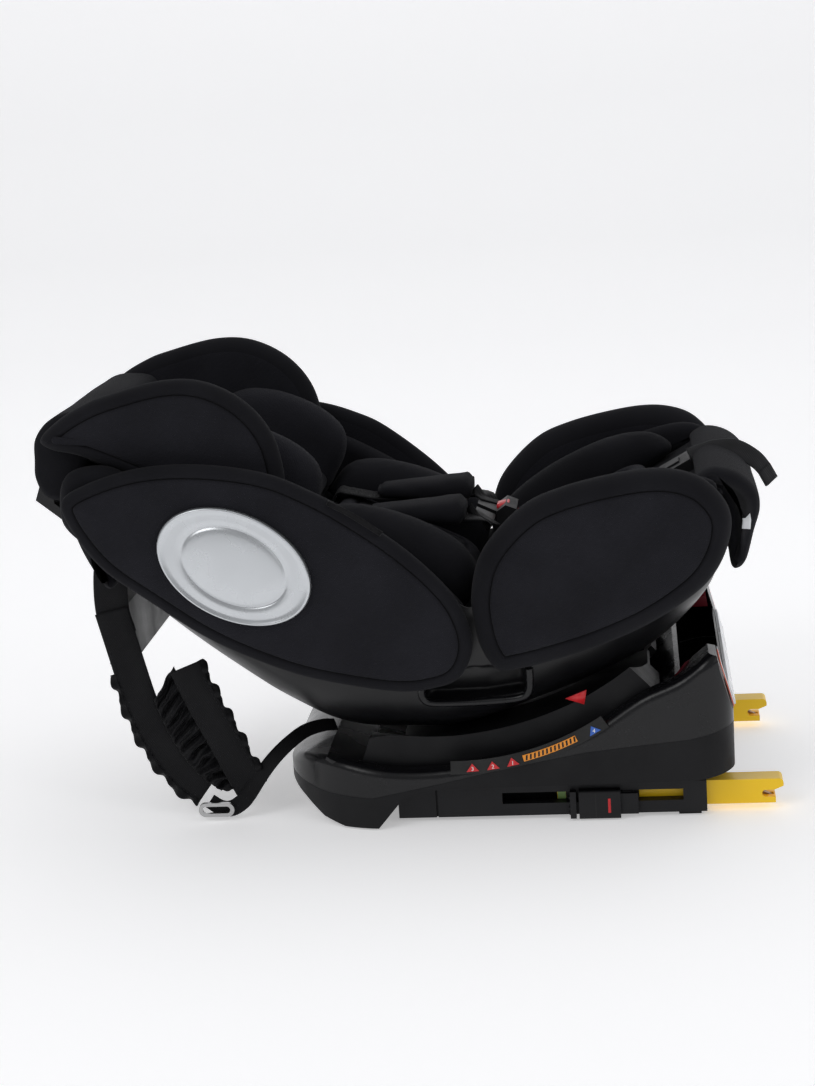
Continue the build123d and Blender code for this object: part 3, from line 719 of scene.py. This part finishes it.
SIDE_LINER = back_line([(368, -4), (350, 30)]) + [
    (-221, 397), (-121, 380), (-42, 342), (18, 298), (56, 260), (72, 236),
]
SIDE_LINER += back_line([(4, -6), (60, -6), (180, -6), (300, -6)])
LEG_LINER = [(88, 222), (92, 250), (120, 292), (165, 322), (230, 350), (300, 369), (334, 364), (336, 348)]
LEG_LINER += leg_line([(250, -8), (160, -8), (60, -8)])
BOLSTER = back_line(
    [
        (180, 2), (186, 22), (178, 46), (156, 62), (122, 72), (84, 76), (44, 74), (12, 64), (-6, 42),
        (-6, 12), (6, 0), (90, -1),
    ]
)
THIGH = leg_line(
    [(22, 2), (14, 24), (28, 46), (66, 58), (120, 62), (180, 56), (222, 40), (240, 18), (232, 2), (130, -1)]
)
CHEEK = back_line(
    [
        (196, 10), (186, 36), (186, 66), (200, 88), (236, 100), (286, 99), (326, 84), (348, 54), (354, 22),
        (344, 9), (270, 8),
    ]
)
HEAD_END = [
    (-344, 352), (-341, 374), (-322, 389), (-290, 388), (-278, 372), (-296, 345), (-312, 312), (-300, 284),
    (-312, 276), (-334, 316),
]
COVER_SHOULDER = [
    (-350, 345), (-353, 375), (-346, 398), (-328, 408), (-300, 408), (-280, 396), (-276, 366), (-296, 340),
    (-322, 322),
]
HEAD_CAP = [
    (-387, 412), (-384, 434), (-368, 453), (-345, 462), (-312, 458), (-303, 440), (-320, 420), (-334, 398),
    (-343, 376), (-358, 366), (-379, 372), (-388, 392),
]
FRONT_ROLL = [
    (352, 265), (360, 261), (369, 271), (377, 300), (384, 325), (380, 346), (362, 364), (336, 371),
    (318, 360), (336, 350), (349, 330), (350, 296),
]
head_soft = []
for sign, word in SIDES:
    liner, _ = pad(
        f"side_liner_{word}", SIDE_LINER, beside(sign), 155, 186, [plain_cloth], 15, 2, (), 0, 0.7, 150,
    )
    settle(liner, "seat_body", "charcoal_fabric", fill=0.7)
    liner, _ = pad(
        f"leg_liner_{word}", LEG_LINER, beside(sign), 144, 167, [plain_cloth], 12, 2, (), 0, 0.7, 130,
    )
    settle(liner, "seat_body", "charcoal_fabric", fill=0.7)
    cheek, lines = pad(
        f"cheek_{word}", CHEEK, beside(sign), 82, 134, [mesh_cloth, plain_cloth], 26, 3, (22,), 0, 1.0, 150,
    )
    cheek = puff(cheek, 2.5)
    settle(cheek, "headrest", "charcoal_fabric", fill=0.8)
    head_soft.append(cheek)
bolsters = []
for sign, word in SIDES:
    bolster, lines = pad(
        f"insert_bolster_{word}", BOLSTER, beside(sign), 96, 152, [plain_cloth], 26, 3, (), 0, 1.0, 160,
    )
    bolster = puff(bolster, 3.0)
    settle(bolster, "seat_body", "charcoal_fabric", fill=0.75)
    bolsters.append(bolster)
thighs = []
for sign, word in SIDES:
    thigh, lines = pad(
        f"insert_thigh_{word}", THIGH, beside(sign), 95, 146, [plain_cloth], 24, 3, (), 0, 1.0, 150,
    )
    thigh = puff(thigh, 3.0)
    settle(thigh, "seat_body", "charcoal_fabric", fill=0.75)
    thighs.append(thigh)
cushion, _ = pad(
    "back_pad", rounded_box(2, 378, -158, 158, 16), on_back, -21, -1, [plain_cloth], 10, 2, (), 0, 1.0, 170,
)
settle(cushion, "seat_body", "charcoal_fabric", "back_cushion", fill=0.6)
cushion, _ = pad(
    "seat_pad", rounded_box(-16, 276, -148, 148, 14), on_leg, -21, -1, [plain_cloth], 10, 2, (), 0, 1.0,
    170,
)
settle(cushion, "seat_body", "charcoal_fabric", "seat_cushion", fill=0.6)
roll = roll_across("front_roll", FRONT_ROLL, 137, 20, [plain_cloth])
settle(roll, "seat_body", "charcoal_fabric", fill=0.6)
insert, lines = pad(
    "back_insert_pad", rounded_box(-6, 168, -94, 94, 34), on_back, 0, 26, [mesh_cloth, plain_cloth], 16, 3,
    (20,), 0, 1.0, 170,
)
settle(insert, "seat_body", "charcoal_fabric", "back_insert", fill=0.7)
for bolster in bolsters:
    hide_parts("back_insert")
insert, lines = pad(
    "seat_insert_pad", rounded_box(4, 208, -92, 92, 40), on_leg, 0, 22, [mesh_cloth, plain_cloth], 14, 3,
    (18,), 0, 1.0, 170,
)
settle(insert, "seat_body", "charcoal_fabric", "seat_insert", fill=0.7)
for thigh in thighs:
    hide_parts("seat_insert")
pillow, lines = pad(
    "head_pillow_pad", rounded_box(192, 404, -132, 132, 50), on_back, 8.5, 34, [mesh_cloth, plain_cloth],
    18, 4, (22,), 0, 1.0, 180,
)
settle(pillow, "headrest", "charcoal_fabric", "head_pillow", fill=0.75)
for cheek in head_soft:
    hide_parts("head_pillow")
end = roll_across("head_end_cover", HEAD_END, 183, 16, [plain_cloth])
settle(end, "seat_body", "charcoal_fabric", fill=0.5)
for sign, word in SIDES:
    shoulder, _ = pad(
        f"cover_shoulder_{word}", COVER_SHOULDER, beside(sign), 152, 186, [plain_cloth], 15, 2, (), 0, 1.0,
        120,
    )
    settle(shoulder, "seat_body", "charcoal_fabric", fill=0.6)
cap = roll_across("headrest_cap", HEAD_CAP, 142, 10, [plain_cloth])
settle(cap, "headrest", "charcoal_fabric", fill=0.6)

# ---- harness ------------------------------------------------------------------------------
STRAP_ROUTE = [(176, 0), (175, 26), (162, 31), (126, 40), (80, 62), (24, 86)]
PAD_ROUTE = [(132, 46), (110, 56), (82, 69), (56, 81), (33, 92)]
for sign, word in SIDES:
    route = [on_back(a, sign * 61, t) for a, t in STRAP_ROUTE]
    route += [(84, sign * 50, 311), (92, sign * 38, 307)]
    belt = strap(f"shoulder_strap_{word}", smooth_line(route, 90), 36, 2.4, webbing)
    settle(belt, "seat_body", "webbing", "harness_straps")
    sleeve_line = smooth_line([on_back(a, sign * 60, t) for a, t in PAD_ROUTE], 60)
    verts, around = [], 28
    up_back = np.array([math.sin(BACK_ANGLE) - 0.4, 0, math.cos(BACK_ANGLE)])
    for i, point in enumerate(sleeve_line):
        share = i / 59
        half = 20 + 12 * share**0.8
        thick = (8 + 9 * share) * min(1, math.sqrt(max(0.02, min(share, 1 - share)) / 0.06))
        wide = half * min(1, 0.8 + 0.2 * math.sqrt(max(0.0, min(share, 1 - share)) / 0.06))
        for j in range(around):
            g = 2 * math.pi * j / around
            c, d = math.cos(g), math.sin(g)
            lump = 1 + 0.05 * noise.noise(Vector((point[0] * 0.05, sign * c * 2, d)))
            aside = np.array([0, 1, 0]) * wide * lump * math.copysign(abs(c) ** 0.7, c)
            verts.append(point + aside + up_back * thick * lump * math.copysign(abs(d) ** 0.8, d))
    sleeve = build(
        f"shoulder_pad_{word}", verts, [*loop_faces(60, around), *end_faces(60, around)], [plain_cloth],
    )
    settle(sleeve, "seat_body", "charcoal_fabric", "shoulder_pads", fill=0.7)


def on_button(a, b, t):
    """Places a pad on the buckle's button, which slopes up towards the legs."""
    return (a - 0.35 * t, b, 300 + t + 0.2 * (a - 103))


def on_crotch(a, b, t):
    """Places a pad upright across the seat, behind the buckle."""
    return (129 + t - 0.12 * b, a, 285 + b)


cap_top, _ = pad(
    "buckle_button_cap", rounded_box(103, 119, -11, 11, 4), on_button, 5, 15, [red_plastic], 3, 0.6, (), 0,
    0.0, 60,
)
settle(cap_top, "buckle_release", "red_plastic")
strap_low = smooth_line([(118, 0, 262), (111, 0, 270), (109, 0, 279)], 12)
settle(strap("crotch_belt", strap_low, 36, 2.4, webbing), "seat_body", "webbing", "crotch_strap")
between, _ = pad(
    "crotch_sleeve", rounded_box(-30, 30, -12, 14, 9), on_crotch, -4.5, 4.5, [plain_cloth], 5, 1, (), 0,
    0.6, 90,
)
settle(between, "seat_body", "charcoal_fabric", "crotch_pad", fill=0.6)

# ---- the adjuster's strap -------------------------------------------------------------------
PULL = [
    (314, 0, 359), (330, 0, 364), (345, 0, 367), (366, 0, 366), (386, 0, 354), (397, 0, 341), (403, 0, 329),
]
pull = strap("adjuster_belt", smooth_line(PULL, 70), 25, 2.2, strap_grey, side=(0.25, 0.7, 0.66))
settle(pull, "seat_body", "webbing", "adjuster_strap")
tab = strap(
    "adjuster_belt_end", smooth_line([(396, 0, 343), (404, 0, 327.5)], 10), 26, 4.6, strap_grey,
    side=(0.25, 0.7, 0.66),
)
settle(tab, "seat_body", "webbing")

# ---- tether -------------------------------------------------------------------------------
ANCHOR_Y, OUTER_Y, RUFFLE_Y, INNER_Y = -127.8, -130, -134, -138
ANCHOR = [(-312, 306), (-318, 275), (-319, 240), (-313, 212)]
OUTER = [
    (-320, 240), (-312, 204), (-305, 172), (-297, 138), (-287, 108), (-276, 84), (-264, 64), (-248, 45),
    (-230, 31),
]
INNER = [(-242, 176), (-232, 150), (-219, 120), (-205, 90), (-192, 60), (-180, 34)]
TAIL = [
    (-226, -142, 22), (-214, -142, 14), (-202, -142, 13), (-190, -142, 20), (-181, -142, 30),
    (-166, -140, 51),
]
TAIL += [(-151, -132, 68), (-136, -115, 79), (-121, -95, 85), (-104, -80, 86), (-90, -72, 84)]


def at_depth(line, y):
    """(x, z) points as points in space that share one y."""
    return [(x, y, z) for x, z in line]


def band(name, line, half, mat, thick=2.2, twist=0.0):
    """A flat band that shows its face to the side and turns by the twist along its length."""
    points = smooth_line(line, 80)
    wide = np.cross(directions(points), (0, 1, 0))
    turn = np.linspace(0, twist, len(points))[:, None]
    wide = wide * np.cos(turn) + np.array([0, 1.0, 0]) * np.sin(turn)
    return strap(name, points, half * 2, thick, mat, side=wide)


anchor = band("tether_anchor", at_depth(ANCHOR, ANCHOR_Y), 19, webbing)
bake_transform(anchor)
outer = band("tether_outer", at_depth(OUTER, OUTER_Y), 19, webbing)
settle(outer, "tether", "webbing", "tether_straps")
inner = band("tether_inner", at_depth(INNER, INNER_Y), 18, webbing)
settle(inner, "tether", "webbing")
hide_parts("tether_straps")
settle(band("tether_tail", TAIL, 9, webbing, 2.0, 1.1), "tether", "webbing", "tether_webbing")
for word, line, y, shift in (("outer", OUTER, OUTER_Y, -15.5), ("inner", INNER, INNER_Y, 14.5)):
    points = smooth_line(at_depth(line, y - 1.5), 80)
    points = points + np.cross(directions(points), (0, 1, 0)) * shift
    row = stitches(f"tether_stitches_{word}", points[8:], (0, -1, 0), thread, 5.0, 3.0, 0.25)
    settle(row, "tether", "webbing")

FOLDS = 9
left = smooth_line([(x + 16, z) for x, z in OUTER[3:]], 140)
right_side = smooth_line([(x - 13, z) for x, z in INNER], 140)
verts = []
for i in range(140):
    for j in range(25):
        s, t = i / 139, j / 24
        swell = math.sin(math.pi * t) ** 0.6
        wave = math.sin(2 * math.pi * FOLDS * s + 2.2 * math.sin(3 * t))
        wave += 0.5 * math.sin(2 * math.pi * FOLDS * 2.3 * s + 5 * t)
        x, z = left[i] * (1 - t) + right_side[i] * t
        curl = 3.0 * swell * noise.noise(Vector((s * 9, t * 3, 0.4)))
        rise = 4.0 * swell * noise.noise(Vector((s * 7, t * 2, 1.7)))
        verts.append((x + curl, RUFFLE_Y - 5.5 * wave * swell, z + rise))
ruffle = build("tether_ruffle", verts, sheet_faces(140, 25), [ruffle_cloth])
settle(applied(ruffle, "SOLIDIFY", thickness=0.0012), "tether", "webbing", "tether_absorber")
for word, line, y, shift in (("outer", OUTER[2:], OUTER_Y, -16), ("inner", INNER, INNER_Y, 15)):
    points = smooth_line(at_depth(line, y - 0.5), 260)
    wide = np.cross(directions(points), (0, 1, 0))
    verts = []
    for i, point in enumerate(points):
        for j in range(5):
            out = j / 4
            reach = shift + math.copysign(9 * out, shift) * (0.8 + 0.25 * math.sin(i * 0.12))
            verts.append(point + wide[i] * reach + np.array([0, math.sin(i * 0.24) * 4.5 * out, 0]))
    frill = build(f"tether_frill_{word}", verts, sheet_faces(260, 5), [ruffle_cloth])
    settle(applied(frill, "SOLIDIFY", thickness=0.0011), "tether", "webbing")

# ---- small sewn pieces ----------------------------------------------------------------------
loop = [
    (-62, -209, 368), (-55, -216, 366), (-40, -221, 359), (-24, -221, 348), (-12, -217, 338),
    (-8, -210, 333),
]
settle(
    strap("belt_loop", smooth_line(loop, 40), 6, 1.6, webbing, side=(0.5, 0, 0.85)), "seat_body", "webbing",
)
tag = strap(
    "sewn_tag", [(368, -134, 325), (369, -137.4, 316), (368, -138, 307)], 9, 0.9, white_plastic,
    side=(1, 0, 0),
)
settle(tag, "seat_body", "webbing")

# ---- CAD nodes that stay ------------------------------------------------------------------
CREASE = math.radians(32)
finish_of = {
    "base_lower_shell": matt_plastic,
    "base_upper_shell": gloss_plastic,
    "rear_panel": white_plastic,
    "scale_strips": pocket_black,
    "base_frame": frame_paint,
    "recline_rails": steel,
    "carriage_cover": matt_plastic,
    "foot_pads": foot_rubber,
    "base_screws": steel,
    "carriage_plate": frame_paint,
    "slide_shoes": acetal,
    "turntable_lower": steel,
    "turntable_bearing": acetal,
    "turntable_upper": steel,
    "recline_bolt": steel,
    "recline_lever": matt_plastic,
    "seat_bucket": matt_plastic,
    "back_box": grey_plastic,
    "harness_tongues": matt_plastic,
    "harness_buckle": matt_plastic,
    "buckle_button": red_plastic,
    "adjuster_housing": matt_plastic,
    "adjuster_button": grey_plastic,
    "headrest_shell": matt_plastic,
    "headrest_pull": matt_plastic,
    "belt_guides": gloss_plastic,
    "swivel_button": grey_plastic,
    "tether_hook": steel,
}
for name, mat in (
    ("isofix_housing", grey_plastic),
    ("isofix_arm", yellow_plastic),
    ("isofix_latch", bronze),
    ("isofix_block", grey_plastic),
    ("isofix_button", grey_plastic),
):
    finish_of |= {f"{name}_{word}": mat for _, word in SIDES}
softened = {
    "base_lower_shell": 1.5,
    "rear_panel": 1.5,
    "isofix_housing_left": 1.0,
    "isofix_housing_right": 1.0,
    "isofix_arm_left": 0.8,
    "isofix_arm_right": 0.8,
    "isofix_block_left": 1.2,
    "isofix_block_right": 1.2,
    "back_box": 6.0,
    "harness_buckle": 2.5,
    "buckle_button": 1.2,
    "belt_guides": 2.0,
    "headrest_pull": 3.0,
    "headrest_shell": 3.0,
    "adjuster_housing": 2.0,
}
for name, mat in finish_of.items():
    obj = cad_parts[name]
    obj.data.materials.clear()
    obj.data.materials.append(mat)
    if name in softened:
        bevel = obj.modifiers.new("edges", "BEVEL")
        bevel.width = softened[name] * MM
        bevel.segments = 3
        bevel.limit_method = "ANGLE"
        bevel.angle_limit = CREASE
        bevel.harden_normals = True
    for p in obj.data.polygons:
        p.use_smooth = True
    obj.data.set_sharp_from_angle(angle=CREASE)

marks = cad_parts["scale_marks"]
marks.data.materials.clear()
for mat in (red_paint, orange_paint, blue_paint):
    marks.data.materials.append(mat)
for p in marks.data.polygons:
    at = math.degrees(math.atan2(p.center.x - 0.055, 0.36 - p.center.z))
    p.material_index = 2 if at > 28 else 1 if 13 < at < 27 else 0

# ---- printed and set-in details on the base ---------------------------------------------------
def prism(name, profile, y0, y1, mat):
    """A plate whose (x, z) outline runs from y0 to y1."""
    k = len(profile)
    verts = [(x, y, z) for y in (y0, y1) for x, z in profile]
    faces = [tuple(range(k)), tuple(range(k, 2 * k))]
    faces += [(j, (j + 1) % k, k + (j + 1) % k, k + j) for j in range(k)]
    obj = build(name, verts, faces, [mat])
    for p in obj.data.polygons:
        p.use_smooth = False
    return obj


RECLINE_X, RECLINE_Z = 55.0, 360.0
STRIP_FACE_Y, ARM_FACE_Y, BLOCK_FACE_Y, PANEL_FACE_Y = 189.85, 152.05, 173.4, 139.2


def on_strip(angle, radius, across_y):
    """A point at an angle from straight down and a radius, both from the recline axis."""
    g = math.radians(angle)
    return (RECLINE_X + radius * math.sin(g), across_y, RECLINE_Z - radius * math.cos(g))


def numeral(word, angle, sign):
    """A printed numeral that stands in the middle of its mark."""
    text = bpy.data.curves.new("numeral", "FONT")
    text.body = word
    text.size = 6.2
    text.align_x = text.align_y = "CENTER"
    text.resolution_u = 3
    holder = bpy.data.objects.new("numeral", text)
    scene.collection.objects.link(holder)
    bpy.context.view_layer.update()
    flat = bpy.data.meshes.new_from_object(holder.evaluated_get(bpy.context.evaluated_depsgraph_get()))
    bpy.data.objects.remove(holder)
    middle = Vector(on_strip(angle, 292.6, sign * (STRIP_FACE_Y + 0.2)))
    for v in flat.vertices:
        v.co = (middle + Vector((-sign * v.co.x, 0, v.co.y))) * MM
    flat.materials.clear()
    flat.materials.append(white_paint)
    obj = bpy.data.objects.new(f"numeral_{word}_{'left' if sign > 0 else 'right'}", flat)
    scene.collection.objects.link(obj)
    return applied(obj, "SOLIDIFY", thickness=0.0001)


MARKS = (("3", 3.1), ("2", 7.4), ("1", 11.6), ("4", 30.0))
for sign, word in SIDES:
    for text, angle in MARKS:
        settle(numeral(text, angle, sign), "base", "mark_paint")
    for angle in np.arange(14.6, 25.8, 0.9):
        corners = [
            on_strip(angle + g, r, 0)
            for g, r in ((-0.2, 293.2), (0.2, 293.2), (0.55, 287.8), (0.15, 287.8))
        ]
        outline = [(x, z) for x, _, z in corners]
        hatch = prism(
            f"hatch_{word}_{angle:.1f}", outline, sign * STRIP_FACE_Y, sign * (STRIP_FACE_Y + 0.25),
            pocket_black,
        )
        settle(hatch, "base", "mark_paint")
    arm = f"arm_{word}"
    details = (
        ("slot_window", (158.4, 167, 9, 34), ARM_FACE_Y, 0.3, green_paint, "mark_paint"),
        ("arm_shroud", (167.2, 246, 9, 34), ARM_FACE_Y, 0.3, grey_plastic, "dark_grey_plastic"),
        ("block_slit", (212.6, 215.4, 9, 25), BLOCK_FACE_Y, 0.9, red_paint, "mark_paint"),
        ("block_seam", (199, 200, 4, 32), BLOCK_FACE_Y, 0.8, pocket_black, "dark_grey_plastic"),
    )
    for name, (x0, x1, z0, z1), face, proud, mat, slot_name in details:
        outline = [(x0, z0), (x1, z0), (x1, z1), (x0, z1)]
        settle(prism(f"{name}_{word}", outline, sign * face, sign * (face + proud), mat), arm, slot_name)
    slope = [(333.2, 181), (336.3, 166), (349.2, 118.5), (350.2, 118.5), (337.3, 166.4), (334.2, 181.4)]
    settle(
        prism(f"rear_cover_{word}", slope, sign * 141, sign * 152, white_plastic), "base", "white_plastic",
    )
    settle(
        prism(f"rear_stripe_{word}", slope, sign * 152.1, sign * 157, salmon_paint), "base", "mark_paint",
    )
    # the inner red mark takes the red darkened with painted shade
    panel = [(288, 149), (334, 149), (331, 172), (318, 174), (300, 164)]
    inner_panel = prism(
        f"inner_panel_{word}", panel, sign * (PANEL_FACE_Y + 0.6), sign * PANEL_FACE_Y, red_in_painted_shade,
    )
    settle(inner_panel, "base", "mark_paint")

# ---- studio -------------------------------------------------------------------------------
floor = build(
    "studio_floor",
    [
        (x, y, z)
        for x in (-9000, 9000)
        for y, z in (
            (-6000, 0), (2500, 0), (3100, 60), (3600, 260), (3950, 640), (4100, 1200), (4150, 7000),
        )
    ],
    [(i, i + 1, i + 8, i + 7) for i in range(6)],
    [
        material(
            "studio_pale", (0.93, 0.93, 0.94), 0.9, Emission_Color=(1, 0.995, 1, 1), Emission_Strength=0.36,
        )
    ],
)


def area_light(name, at, to, size, power):
    light = bpy.data.lights.new(name, "AREA")
    light.shape = "RECTANGLE"
    light.size, light.size_y = size
    light.energy = power
    obj = bpy.data.objects.new(name, light)
    obj.location = at
    obj.rotation_euler = (Vector(to) - Vector(at)).to_track_quat("-Z", "Y").to_euler()
    scene.collection.objects.link(obj)


area_light("key", (-1.6, -2.4, 2.6), (0, 0, 0.2), (1.6, 1.6), 19)
area_light("fill", (2.2, -1.8, 1.8), (0, 0, 0.2), (1.4, 1.8), 9)
area_light("top", (0.1, 0.5, 2.6), (0, 0, 0.1), (2.4, 1.8), 9)
SKY_LIGHT, SKY_SEEN = 0.38, 0.92
world = bpy.data.worlds.new("studio")
world.use_nodes = True
world.node_tree.nodes["Background"].inputs["Color"].default_value = (0.93, 0.94, 0.96, 1)
seen = world.node_tree.nodes.new("ShaderNodeLightPath")
level = world.node_tree.nodes.new("ShaderNodeMapRange")
level.inputs["To Min"].default_value = SKY_LIGHT
level.inputs["To Max"].default_value = SKY_SEEN
world.node_tree.links.new(seen.outputs["Is Camera Ray"], level.inputs["Value"])
world.node_tree.links.new(level.outputs["Result"], world.node_tree.nodes["Background"].inputs["Strength"])
scene.world = world
